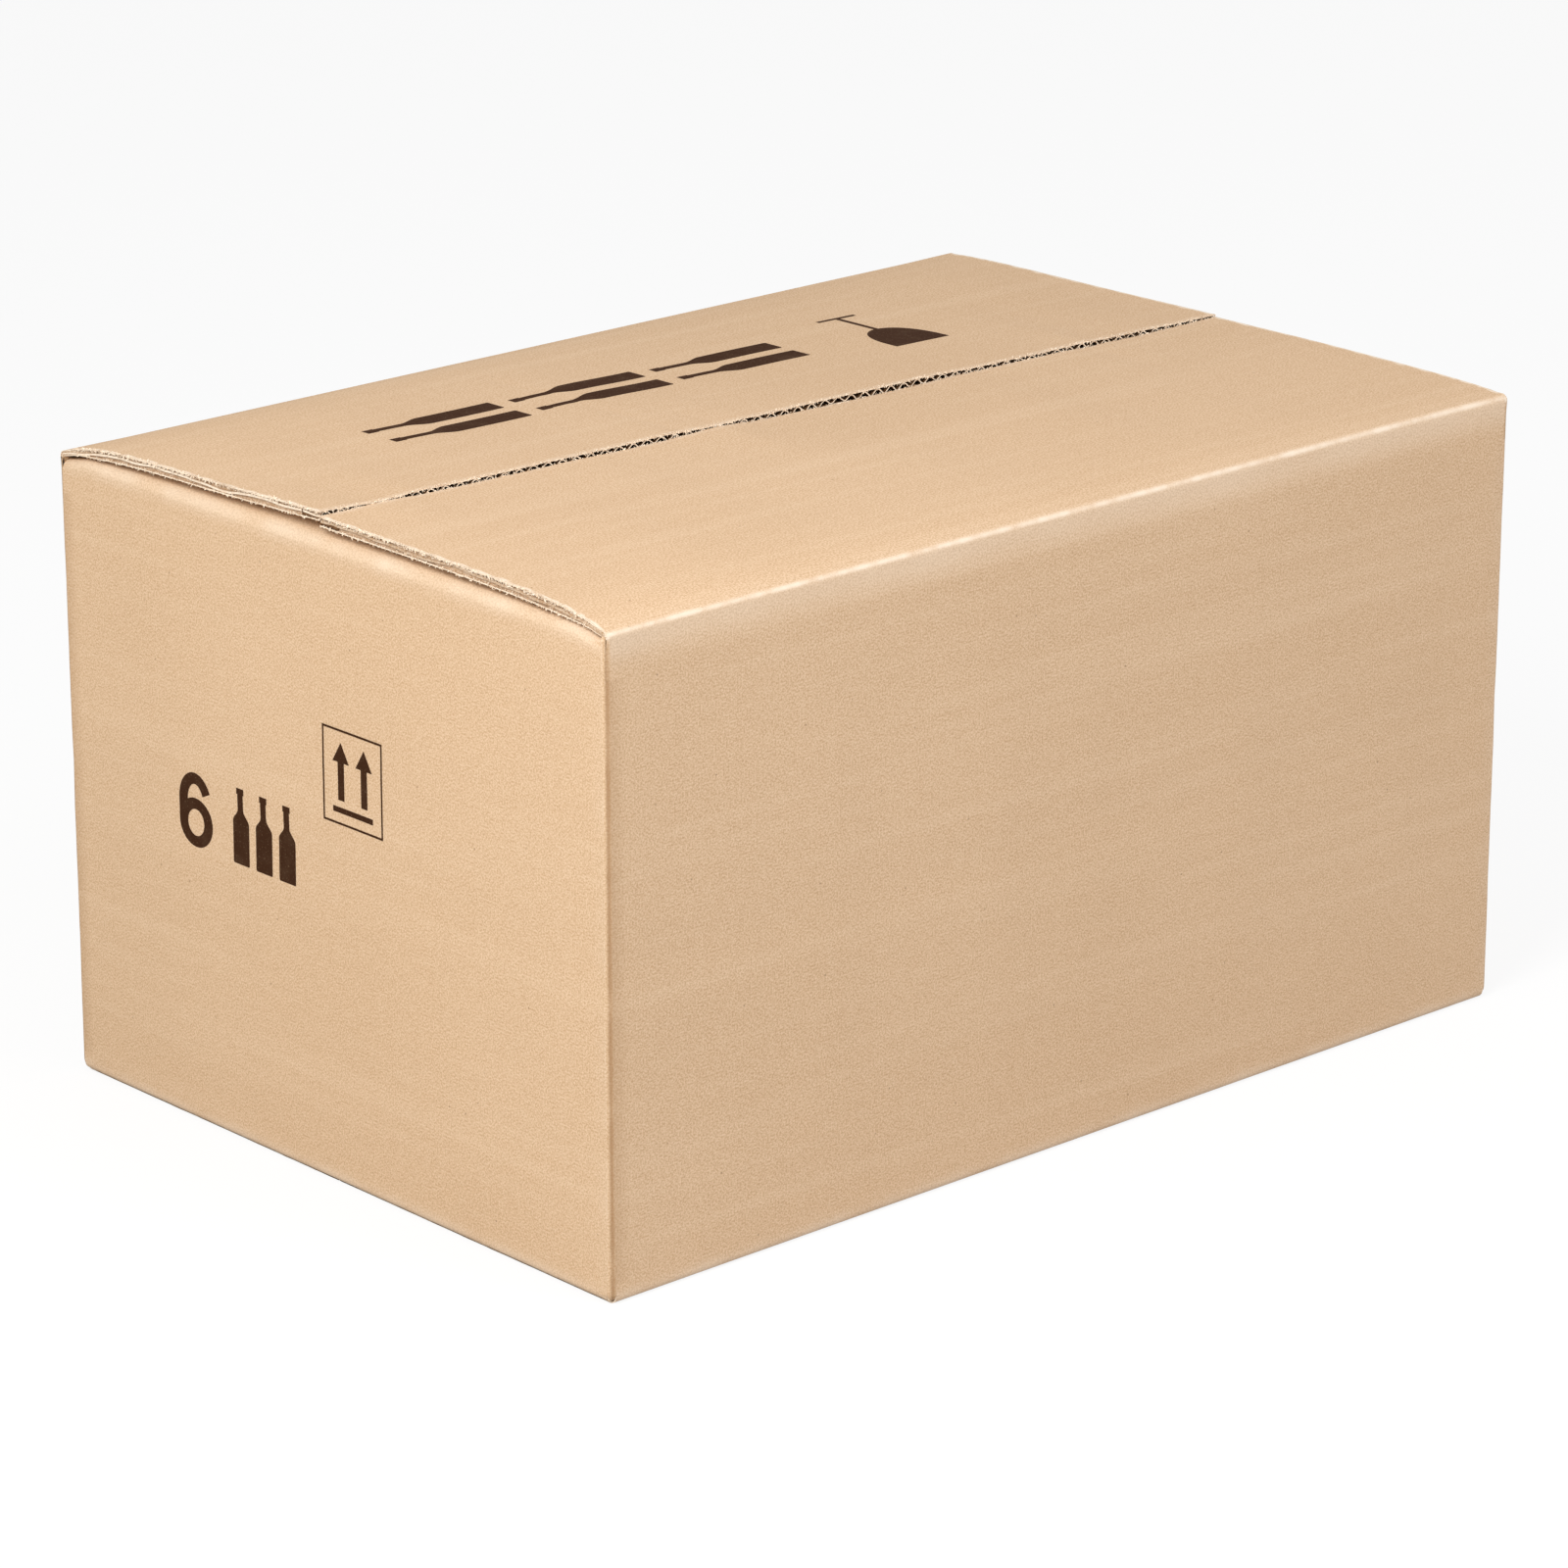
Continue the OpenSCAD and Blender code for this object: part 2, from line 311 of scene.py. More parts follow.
# A node with its settings, and each input set to a value or linked to a socket.
# It gives back one of the node's outputs
def addNode(tree, kind, inputs=None, out=0, **settings):
    node = tree.nodes.new(kind)
    for label, value in settings.items():
        setattr(node, label, value)
    for label, value in (inputs or {}).items():
        if isinstance(value, bpy.types.NodeSocket):
            tree.links.new(value, node.inputs[label])
        else:
            node.inputs[label].default_value = value
    return node.outputs[out]


def mathNode(tree, operation, first, second=0.0):
    return addNode(tree, "ShaderNodeMath", {0: first, 1: second}, operation=operation)


def noiseNode(tree, vector, scale, detail, stretch=None):
    if stretch:
        vector = addNode(tree, "ShaderNodeMapping", {"Vector": vector, "Scale": stretch})
    values = {"Vector": vector, "Scale": scale, "Detail": detail, "Roughness": 0.6}
    return addNode(tree, "ShaderNodeTexNoise", values)


def mixColour(tree, factor, first, second):
    return addNode(tree, "ShaderNodeMix", {0: factor, 6: first, 7: second}, 2, data_type="RGBA")


def newMaterial(name, rough, shine):
    material = bpy.data.materials.new(name)
    material.use_nodes = True
    shader = material.node_tree.nodes["Principled BSDF"]
    shader.inputs["Roughness"].default_value = rough
    shader.inputs["Specular IOR Level"].default_value = shine
    return material, material.node_tree, shader


kraft = {                 # screen values
    "base": (210, 177, 142),
    "pale": (232, 205, 174),
    "deep": (180, 143, 104),
    # worn pale board, also the painted highlight on the folds
    "rubbedAndLit": (240, 224, 204),
    # painted shade in creases and beside the upright corners
    "shadedCrease": (150, 112, 74),
    "speck": (118, 84, 54),
    "cut": (248, 234, 214),
    # painted shade of the groove in a cut along the flutes
    "slit": (176, 142, 108),
    # painted shade inside the open flutes
    "flute": (84, 57, 38),
    "insert": (190, 155, 115),
    "ink": (58, 34, 18),
}


def tone(label):
    values = [v / 255 for v in kraft[label]]
    return tuple(v / 12.92 if v <= 0.04045 else ((v + 0.055) / 1.055) ** 2.4 for v in values) + (1.0,)


# Noises have a scale, a detail and a stretch. Layers have a noise, the levels between which it comes in,
# its share and its tone
paperFinish = {
    "rough": 0.86,
    "shine": 0.2,
    "bump": (0.35, 0.00006),
    "fluteLines": 0.12,   # height of the flutes that show through the liner
    "speckScale": 95.0,
    "noises": {
        "cloud": (9.0, 2.0),
        "mottle": (230.0, 3.0),
        "formation": (1500.0, 3.0),
        "streak": (1.0, 3.0, (2.4, 85.0, 85.0)),
        "fibre": (1.0, 3.0, (1100.0, 4200.0, 4200.0)),
    },
    "layers": (
        ("cloud", 0.35, 0.65, 0.16, "deep"),
        ("mottle", 0.5, 0.7, 0.16, "pale"),
        ("mottle", 0.5, 0.3, 0.16, "deep"),
        ("streak", 0.5, 0.78, 0.34, "pale"),
        ("formation", 0.42, 0.64, 0.62, "pale"),
        ("formation", 0.52, 0.32, 0.58, "deep"),
        ("fibre", 0.52, 0.72, 0.5, "deep"),
        ("speck", 0.045, 0.02, 0.55, "speck"),
        # above zero: worn and torn board, with painted highlight on the folds
        ("wearAndPaintedLight", 0.0, 1.0, 0.85, "rubbedAndLit"),
        # below zero: painted shade in the creases
        ("wearAndPaintedLight", 0.0, -1.0, 0.7, "shadedCrease"),
    ),
}
cutFinish = {
    "rough": 0.95,
    "shine": 0.1,
    "bump": (0.5, 0.0001),
    "noises": {"grain": (1400.0, 4.0), "patch": (160.0, 2.0)},
    "layers": (("grain", 0.35, 0.65, 0.5, None), ("patch", 0.5, 0.75, 0.35, "deep")),
}
inkFinish = {
    "rough": 0.9,
    "shine": 0.08,
    "noises": {"dots": (1500.0, 3.0), "patch": (120.0, 2.0)},
    "layers": (("dots", 0.6, 0.85, 0.35, None), ("patch", 0.5, 0.8, 0.03, None)),
}


# One look: a base tone under the layers of a finish, and other where a layer names no tone.
# With useUv it follows the sheet of board, and else the object's own coordinates
def makeLook(name, finish, base, other="base", useUv=False):
    material, tree, shader = newMaterial(name, finish["rough"], finish["shine"])
    if useUv:
        vector = addNode(tree, "ShaderNodeUVMap", uv_map="board")
    else:
        vector = addNode(tree, "ShaderNodeTexCoord", out="Object")
    value = {label: noiseNode(tree, vector, *noise) for label, noise in finish["noises"].items()}
    if "speckScale" in finish:
        values = {"Vector": vector, "Scale": finish["speckScale"]}
        value["speck"] = addNode(tree, "ShaderNodeTexVoronoi", values)
        value["wearAndPaintedLight"] = addNode(tree, "ShaderNodeAttribute", out="Fac", attribute_name="wearAndPaintedLight")
    colour = tone(base)
    for label, low, high, share, over in finish["layers"]:
        part = addNode(tree, "ShaderNodeMapRange", {
            "Value": value[label], "From Min": low, "From Max": high, "To Min": 0.0, "To Max": share})
        colour = mixColour(tree, part, colour, tone(over or other))
    tree.links.new(colour, shader.inputs["Base Color"])
    if "bump" in finish:
        height = value.get("grain")
        if "fibre" in value:
            coarse = mathNode(tree, "MULTIPLY", value["formation"], 0.6)
            height = mathNode(tree, "ADD", coarse, value["fibre"])
        if useUv:
            across = addNode(tree, "ShaderNodeSeparateXYZ", {0: vector})
            rate = 2 * math.pi / (board["flutePitch"] * toMetres)
            lines = mathNode(tree, "SINE", mathNode(tree, "MULTIPLY", across, rate))
            height = mathNode(tree, "ADD", height, mathNode(tree, "MULTIPLY", lines, finish["fluteLines"]))
        strength, depth = finish["bump"]
        bump = addNode(tree, "ShaderNodeBump", {"Strength": strength, "Distance": depth, "Height": height})
        tree.links.new(bump, shader.inputs["Normal"])
    return material


linerLook = makeLook("kraftLiner", paperFinish, "base", useUv=True)
insideLook = makeLook("kraftInside", paperFinish, "insert", useUv=True)
insertLook = makeLook("insertLiner", paperFinish, "insert")
cutLook = makeLook("cutLiner", cutFinish, "cut")
# the waved sheet and sunk open flutes, in a dark tone of painted shade
fluteLook = makeLook("flutedSheet", cutFinish, "flute", "shadedCrease")
# painted shade for the sunk faces of cuts along the flutes
shadedSlitLook = makeLook("shadedSlitCore", cutFinish, "slit", "cut")
inkLook = makeLook("printInk", inkFinish, "ink")
boardLooks = [linerLook, insideLook, cutLook, fluteLook, shadedSlitLook]      # in the order of lookOf
print("materials made")

# The walls run once round the box, from the back panel's raw edge to the glue tab
halfL, halfW, bendR = boxLength / 2, boxWidth / 2, board["corner"]
tabFace = halfW - thick
wallPath = tracePath([
    ("line", (halfL - board["lapSet"], halfW), (-footHalf, halfW)),
    ("arc", (-footHalf, endHalf), bendR, 90, 180),
    ("line", (-halfL, endHalf), (-halfL, -endHalf)),
    ("arc", (-footHalf, -endHalf), bendR, 180, 270),
    ("line", (-footHalf, -halfW), (footHalf, -halfW)),
    ("arc", (footHalf, -endHalf), bendR, 270, 360),
    ("line", (halfL, -endHalf), (halfL, tabFace - bendR)),
    ("arc", (footHalf, tabFace - bendR), bendR, 0, 90),
    ("line", (footHalf, tabFace), (footHalf - board["tabWidth"], tabFace)),
])
bendRun = bendR * math.pi / 2
backRun = boxLength - board["lapSet"] - bendR
leftRun = boxWidth - 2 * bendR
frontRun = boxLength - 2 * bendR
rightRun = boxWidth - thick - 2 * bendR
leftStart = backRun + bendRun
leftEnd = leftStart + leftRun
frontStart = leftEnd + bendRun
frontEnd = frontStart + frontRun
rightStart = frontEnd + bendRun
rightEnd = rightStart + rightRun
tabStart = rightEnd + bendRun
wallEnd = tabStart + board["tabWidth"]
cornerMiddles = [start - bendRun / 2 for start in (leftStart, frontStart, rightStart, tabStart)]


# Where a place on each panel lies along that run
def runOnBack(x):
    return halfL - board["lapSet"] - x


def runOnLeft(y):
    return leftStart + endHalf - y


def runOnFront(x):
    return frontStart + footHalf + x


def runOnRight(y):
    return rightStart + endHalf + y


wall = {
    "bulge": 0.7,         # the panels bulge out in the middle
    "wave": 0.25,
    "ripple": 0.12,
    "dent": 0.2,          # pressed line beside each upright corner
    "corner": 0.9,        # the board in a corner is this share of the corner's radius
    "crushRun": 4.0,      # and gets its thickness back over this run
    # painted shade beside each upright corner
    "shade": 0.22,        # darker board beside a corner
}
cornerRubAndShade = (           # strength, place from the corner's middle, width, height and length of a wave
    # first a paler line where the board is worn, then a dark line of painted shade in the creased score
    (0.12, -1.2, 0.6, 0.1, 45.0),
    (-0.9, 0.5, 0.85, -0.25, 30.0),
)


# Slight bulge and waviness of the panels, creased corners and their rounded ends
def wallPoint(run, z, deep):
    x, y, inX, inY = pathAt(wallPath, run)
    rise = np.clip((z - panelLow) / (panelHigh - panelLow), 0, 1)
    swell = np.sin(math.pi * rise)
    panels = ((0, backRun), (leftStart, leftRun), (frontStart, frontRun), (rightStart, rightRun))
    along = np.zeros_like(run)
    for start, length in panels:
        along = np.maximum(along, np.sin(math.pi * np.clip((run - start) / length, 0, 1)))
    waves = wall["wave"] * wander(run, 170, 5) + wall["ripple"] * wander(z, 60, 8)
    offset = swell * (waves - wall["bulge"] * along)
    for middle in cornerMiddles:
        offset = offset + wall["dent"] * hump(run, middle + 0.5, 0.5)
        crushed = 1 - smoothStep(np.abs(run - middle), bendRun / 2, bendRun / 2 + wall["crushRun"])
        deep = deep * (1 - (1 - wall["corner"] * bendR / thick) * crushed)
    tip, tipRound = board["tip"], board["tipRound"]
    over = np.maximum(z - (ridge - tip - tipRound), tip + tipRound - z)
    over = np.clip(over, 0, tipRound * 0.97)
    offset = offset + tipRound - np.sqrt(tipRound ** 2 - over ** 2)
    x = x + inX * (deep + offset)
    y = y + inY * (deep + offset)
    return np.stack([x, y, z + np.zeros_like(run)], axis=-1)


def wallUv(run, z):
    return np.stack([run, z + np.zeros_like(run)], axis=-1)


# Rubbed, paler board on the upright corners, and painted shade: a dark line in the creased score beside it
# and darker board beside the corner
def wallWearAndShade(run, z):
    total = np.zeros_like(run)
    for middle in cornerMiddles:
        for number, (strength, at, width, height, length) in enumerate(cornerRubAndShade):
            waves = height * wander(z, length, int(middle) + number)
            total += hump(run, middle + at, width) * (strength + waves)
        # painted shade beside the corner
        shade = smoothStep(run, middle, middle + 0.8) * (1 - smoothStep(run, middle + 2, middle + 4.5))
        total -= wall["shade"] * shade
    return np.clip(total, -1, 1)


fold = {
    "settleRun": 16.0,    # a flap comes to its level over this run from the fold
    "climbRun": 25.0,     # the inner top flaps climb to the outer ones over this run
    "climbGap": 0.7,      # and stay this far under them
    "tuck": 2.2,          # their ends dip beside the upright corners
    "tuckRun": 14.0,
    "pressRun": 16.0,     # the outer bottom flaps' ends are pressed thin under the inner ones
    # worn folds, with a painted highlight along each
    "rubAndHighlight": 0.45,
}


# Bottom flaps and inner top flaps follow a section through their fold
def foldPath(corner, radius, start, upward, settle):
    turn = 1 if upward else -1
    flat = radius + fold["settleRun"]
    return tracePath([
        ("line", (0, start), (0, corner - turn * radius)),
        ("arc", (radius, corner - turn * radius), radius, 180, 90 if upward else 270),
        ("line", (radius, corner), (flat, settle)),
        ("line", (flat, settle), (flapReach, settle)),
    ])


def foldPoint(path, label, toWorld):
    upward = label.startswith("top")
    side = -1 if upward else 1
    sideX = -1 if label == "topLeft" else 1

    def place(along, run, deep):
        inward, height, nIn, nUp = pathAt(path, run)
        if upward:
            climbed = np.clip((inward - 1) / fold["climbRun"], 0, 1)
            height = height + innerClimb(sideX * (halfL - inward), along) * (1 - (1 - climbed) ** 3)
            tucked = smoothStep(np.abs(along), endHalf - fold["tuckRun"], endHalf)
            tucked = tucked * smoothStep(height, panelHigh, innerTop)
            height = height - fold["tuck"] * tucked * (1 - np.clip(inward / fold["climbRun"], 0, 1))
        if label in ("bottomFront", "bottomBack"):
            pressed = smoothStep(np.abs(along), footHalf - fold["pressRun"], footHalf - 1)
            pressed = pressed * smoothStep(inward, 2, 8)
            deep = deep * (1 - (1 - board["footLift"] / thick) * pressed)
        return toWorld(along, inward + side * nIn * deep, height + side * nUp * deep)
    return place


def onLong(sideY):
    return lambda along, inward, height: np.stack([along, sideY * (halfW - inward), height], axis=-1)


def onEnd(sideX):
    return lambda along, inward, height: np.stack([sideX * (halfL - inward), along, height], axis=-1)


# Outer top flaps: a strip of the panel, the scored fold and the sprung flap in one sheet
flap = {
    "foldRadius": 2.6,
    "bendRun": 4.8,       # the sheet bends this far on each side of the fold
    "lean": 0.7,          # the panel leans in under the fold
    "crush": 1.5,         # board lost at the score
    "crushRun": 24.0,
    "drop": 0.2,          # the flap starts this far under the fold's height
    "spring": 14.0,       # the flap springs up over this distance behind the fold
    "springShare": 0.7,   # share of the rise that comes from the spring, and the rest is even
    "settle": 0.8,        # the flaps lie this much lower than in the frame, on average
    "twist": 2.8,         # the left end stands higher than the right end
    "wave": 0.2,
    "bow": 1.2,
    "edgeCrush": 0.25,    # share of the board lost at a pressed free edge
    "edgeRun": 14.0,
    "pressed": 0.18,      # a faint line pressed across the back flap
    "pressedAt": -51.0,
    "seeds": {-1: 200, 1: 260},
    "stepAt": (-208, -198, -188, -180, -168, -100, -60, -35, -22, 20,
               60, 75, 110, 132, 142, 152, 170, 190, 208),
    "step": (1.5, 1.3, 0.4, 0.4, 1.5, 1.6, 2.0, 0.5, 1.7, 2.4,
             2.4, 1.7, 1.4, 1.5, 2.3, 1.5, 1.8, 1.2, 0.8),
}


# Rise of a flap over the fold's height, with the back flap's free edge a step over the front one's
def flapLift(side, x, inward):
    radius, share = flap["foldRadius"], flap["springShare"]
    part = np.clip((inward - radius) / (flapReach - radius), 0, 1)
    step = np.interp(x, flap["stepAt"], flap["step"])
    rise = meanRise - flap["settle"] - flap["twist"] * x / flapHalf
    rise = rise + flap["wave"] * wander(x, 150, 200) * part + side * step / 2 * smoothStep(part, 0.55, 1)
    sprung = 1 - np.exp(-np.clip(inward - radius, 0, None) / flap["spring"])
    bow = flap["bow"] * part * (1 - part) * wander(x, 190, flap["seeds"][side] + 1)
    line = (side > 0) * hump(x, flap["pressedAt"], 1.8) * smoothStep(part, 0, 0.3)
    return rise * (share * sprung + (1 - share) * part) + bow - flap["pressed"] * line


def flapSqueeze(inward):
    return 1 - flap["crush"] / thick * (1 - smoothStep(inward, 0, flap["crushRun"]))


# The inner top flaps spring up until they touch the outer ones
def innerClimb(x, y):
    under = []
    for side in (-1, 1):
        inward = np.minimum(halfW - side * y, flapReach)
        under.append(flapLift(side, x, inward) - thick * flapSqueeze(inward))
    share = smoothStep(y, 2, 26)
    return ridge + under[0] * (1 - share) + under[1] * share - innerTop - fold["climbGap"]


cartonFolds = {           # side, run on the panel, height at the fold and further in, radius, cut ends
    "bottomFront": (onLong(-1), runOnFront, 0.0, 0.0, board["bend"], -footHalf, footHalf),
    "bottomBack": (onLong(1), runOnBack, 0.0, 0.0, board["bend"], -footHalf, footHalf),
    "bottomLeft": (onEnd(-1), runOnLeft, board["footLift"], thick, board["bend"], -endHalf, endHalf),
    "bottomRight": (onEnd(1), runOnRight, board["footLift"], thick, board["bend"], -endHalf, endHalf - thick),
    "topLeft": (onEnd(-1), runOnLeft, innerTop, innerTop, board["roll"], -endHalf, endHalf),
    "topRight": (onEnd(1), runOnRight, innerTop, innerTop, board["roll"], -endHalf, endHalf - thick),
}
openFlutes = {"depth": 9.0, "inset": 0.1, "fray": 0.15, "pointsEach": 10}


# Stretches of wall beside the slots, for flaps that end at this half length, each with a seed
def cornerZones(half):
    into = np.clip((half - halfL + bendR) / bendR, 0, 0.95)
    into = bendR * math.asin(into)        # the flap's run round a corner
    return [(0.0, runOnBack(half), 41), (backRun + into, leftStart, 43), (leftEnd, frontStart - into, 45),
            (frontEnd + into, rightStart, 47), (rightEnd, tabStart, 49)]


def makeWalls(build):
    upperZones, lowerZones = cornerZones(flapHalf), cornerZones(footHalf)
    marks = [backRun, leftStart, leftEnd, frontStart, frontEnd, rightStart, rightEnd, tabStart]
    parts = [stepsTo(0, *[(mark, 6.0) for mark in marks])]
    for first, last, seed in upperZones + lowerZones:
        if last < tabStart:
            parts.append(np.linspace(first, last, 2 if first == 0 else bendPoints))
    runs = np.unique(np.round(np.concatenate(parts), 4))
    bends = np.linspace(rightEnd, tabStart, bendPoints)
    heights = stepsTo(panelLow, (panelHigh, 6.0))
    rawEdge = [("aLow", slitProfile(31))]
    addBoard(build, wallPoint, runs[runs <= rightEnd + 0.01], heights, wallUv, rawEdge, wallWearAndShade)
    addBoard(build, wallPoint, bends, heights, wallUv, [], wallWearAndShade)
    tabHeights = stepsTo(panelLow + board["tabTrim"], (panelHigh - board["tabTrim"], 12.0))
    tabRuns = stepsTo(tabStart, (wallEnd, 6.0))
    tabEdges = [("aHigh", slitProfile(32)), ("bLow", openProfile(33, cut["tab"])),
                ("bHigh", openProfile(34, cut["tab"]))]
    addBoard(build, wallPoint, tabRuns, tabHeights, wallUv, tabEdges)
    topEnd, lowEnd, tipRound = ridge - board["tip"], board["tip"], board["tipRound"]
    upper = stepsTo(panelHigh, (topEnd - tipRound, 3.0), (topEnd, tipRound / 5))
    lower = stepsTo(lowEnd, (lowEnd + tipRound, tipRound / 5), (panelLow, 2.0))
    for zones, levels, side in ((upperZones, upper, "bHigh"), (lowerZones, lower, "bLow")):
        for first, last, seed in zones:
            part = runs[(runs > first - 0.001) & (runs < last + 0.001)] if last < tabStart else bends
            edges = (rawEdge if first == 0 else []) + [(side, slitProfile(seed, cut["tip"]))]
            addBoard(build, wallPoint, part, levels, wallUv, edges, wallWearAndShade)


# One bottom flap or inner top flap. It gives back where its open flutes lie
def makeFold(build, number, label):
    toWorld, runOn, corner, settle, radius, low, high = cartonFolds[label]
    upward = label.startswith("top")
    start, turn = (panelHigh, 1) if upward else (panelLow, -1)
    path = foldPath(corner, radius, start, upward, settle)
    place = foldPoint(path, label, toWorld)
    straight = abs(corner - start) - radius
    arc = radius * math.pi / 2
    flat, end = straight + arc, path["run"][-1]
    fluteStart = end - openFlutes["depth"]
    sections = stepsTo(0, (straight, 3.0), (flat, arc / 9), (flat + 20, 4.0), (fluteStart, 4.0), (end, 4.0))

    def mapUv(along, run):
        return np.stack([runOn(along), start + turn * run], axis=-1)

    # A paler line along the fold: worn board, and its painted highlight
    def wearAndPaintedLight(along, run):
        rubAndHighlight = fold["rubAndHighlight"] * hump(run, straight + arc / 2, 3.0)
        return rubAndHighlight * (0.8 + 0.4 * wander(along, 50, number))
    seed = 60 + 3 * number
    edges = [("aLow", slitProfile(seed), straight), ("aHigh", slitProfile(seed + 1), straight),
             ("bHigh", openProfile(seed + 2, openFlutes["depth"]))]
    addBoard(build, place, stepsTo(low, (high, 6.0)), sections, mapUv, edges, wearAndPaintedLight)
    return low, high, end, place


wallRun = ridge - panelHigh
foldArc = flap["foldRadius"] * math.pi / 2
flapStart = wallRun - flap["foldRadius"]
flatStart = flapStart + foldArc
flapEndRun = flatStart + flapReach - flap["foldRadius"]


# Places on a flap's sheet: along the fold, up the strip and over the fold, and into the board
def makeFlapPlace(side):
    radius = flap["foldRadius"]
    seed = flap["seeds"][side] + 2

    def place(x, run, deep):
        ends = smoothStep(flapHalf - np.abs(x), 0, 30)
        lean = flap["lean"] * smoothStep(run, 2, flapStart + foldArc / 2) * ends
        over = np.clip(run - flapStart - foldArc, 0, None)
        slope = flapLift(side, x, radius + over + 0.5) - flapLift(side, x, radius + over)
        tilt = math.pi / 2 - np.arctan(slope / 0.5)
        tilt = tilt * np.clip((run - flapStart) / foldArc, 0, 1)
        inward = radius * (1 - np.cos(np.minimum(tilt, math.pi / 2))) + over
        inward = np.where(over > 0, radius + over, inward)
        rounded = panelHigh + np.minimum(run, flapStart) + radius * np.sin(tilt)
        sprung = ridge - flap["drop"] + flapLift(side, x, radius + over)
        height = np.where(over > 0, sprung, rounded)
        nearEdge = smoothStep(run, flapEndRun - flap["edgeRun"], flapEndRun)
        press = flap["edgeCrush"] * smoothStep(wander(x, 46, seed), -0.3, 0.9) * nearEdge
        depth = deep * flapSqueeze(np.abs(run - flapStart - foldArc / 2)) * (1 - press)
        inward = inward + lean * (1 - smoothStep(run, flatStart, flatStart + 6))
        pastCorner = np.clip(np.abs(x) - halfL + bendR, 0, 0.95 * bendR)
        rounding = bendR - np.sqrt(bendR ** 2 - pastCorner ** 2)      # the strip follows the corner
        inward = inward + rounding * (1 - smoothStep(run, flapStart - 5, flatStart))
        inward = inward + depth * np.cos(tilt)
        height = height - depth * np.sin(tilt)
        return np.stack([x + np.zeros_like(inward), side * (halfW - inward), height], axis=-1)
    return place


# Outer top flaps: worn and torn board, painted highlight along and under the fold, and painted shade at the
# strip's ends
flapWearAndLight = {
    # the ridge is worn, with a painted highlight along it
    "ridge": 0.8,         # rubbed ridge of the fold
    # the paler strip under the ridge is a painted highlight where the board rolls into the fold
    "litBand": 0.28,         # paler band under the ridge
    "edge": 0.5,
    "ends": 0.9,          # torn liner at the cut ends
    "tornRun": 1.5,
    # the strip's dark end is painted shade
    "shadedCrease": 0.75,       # dark end of the strip under the fold
}


def makeFlap(name, side, runOn):
    place = makeFlapPlace(side)
    build = newBuild()
    fluteStart, innerEnd = flapEndRun - openFlutes["depth"], flapHalf - 3
    sections = stepsTo(0, (flapStart, 2.0), (flatStart, foldArc / 10), (flatStart + 24, 2.0),
                       (flapEndRun - 16, 4.0), (fluteStart, 1.5), (flapEndRun, 1.5))
    along = stepsTo(-flapHalf, (-innerEnd, 0.5), (innerEnd, 2.0), (flapHalf, 0.5))

    def mapUv(x, run):
        return np.stack([runOn(x) + np.zeros_like(run), panelHigh + run + np.zeros_like(x)], axis=-1)

    # Painted highlight on and under the ridge, worn and torn edges, and painted shade at the strip's ends
    def wearAndPaintedLight(x, run):
        middle = flapStart + foldArc * 0.45
        ridgeLight = flapWearAndLight["ridge"] + 0.3 * wander(x, 40, 7) + 0.2 * wander(x, 9, 8)
        ridgeLight = ridgeLight * hump(run, middle, 1.2)
        litBand = (flapWearAndLight["litBand"] + 0.05 * wander(x, 120, 9)) * (run < middle)
        litBand = litBand * smoothStep(run, flapStart - 12, flapStart - 1)
        edge = flapWearAndLight["edge"] * smoothStep(run, flapEndRun - 2.5, flapEndRun)
        torn = flapHalf - flapWearAndLight["tornRun"] - 0.7 * wander(run, 11, 91) - 0.4 * wander(run, 4, 92)
        ends = flapWearAndLight["ends"] * smoothStep(np.abs(x), torn, torn + 0.8) * (run > flapStart)
        # painted shade at the ends of the strip beside the corners
        shadedCrease = smoothStep(np.abs(x), flapHalf - 1.6, flapHalf - 0.4) * (run < flapStart)
        shadedCrease = flapWearAndLight["shadedCrease"] * shadedCrease
        return np.clip(np.maximum(np.maximum(ridgeLight, litBand), np.maximum(edge, ends)) - shadedCrease, -1, 1)
    seed = 300 if side < 0 else 320
    edges = [("aLow", slitProfile(seed, foldAt=flapStart), flapStart),
             ("aHigh", slitProfile(seed + 4, foldAt=flapStart), flapStart),
             ("bHigh", openProfile(seed + 8, openFlutes["depth"]))]
    addBoard(build, place, along, sections, mapUv, edges, wearAndPaintedLight)
    return finishMesh(name, build, boardLooks), place


# Node trees start with named inputs and end in real geometry with its material
def startTree(name, inputs):
    tree = bpy.data.node_groups.new(name, "GeometryNodeTree")
    for label, kind in inputs.items():
        tree.interface.new_socket(label, in_out="INPUT", socket_type="NodeSocket" + kind)
    tree.interface.new_socket("Geometry", in_out="OUTPUT", socket_type="NodeSocketGeometry")
    return tree, tree.nodes.new("NodeGroupInput").outputs


def endTree(tree, given, geometry):
    real = addNode(tree, "GeometryNodeRealizeInstances", {0: geometry})
    paint = addNode(tree, "GeometryNodeSetMaterial", {"Geometry": real, "Material": given["Paper"]})
    tree.links.new(paint, tree.nodes.new("NodeGroupOutput").inputs[0])
    return tree


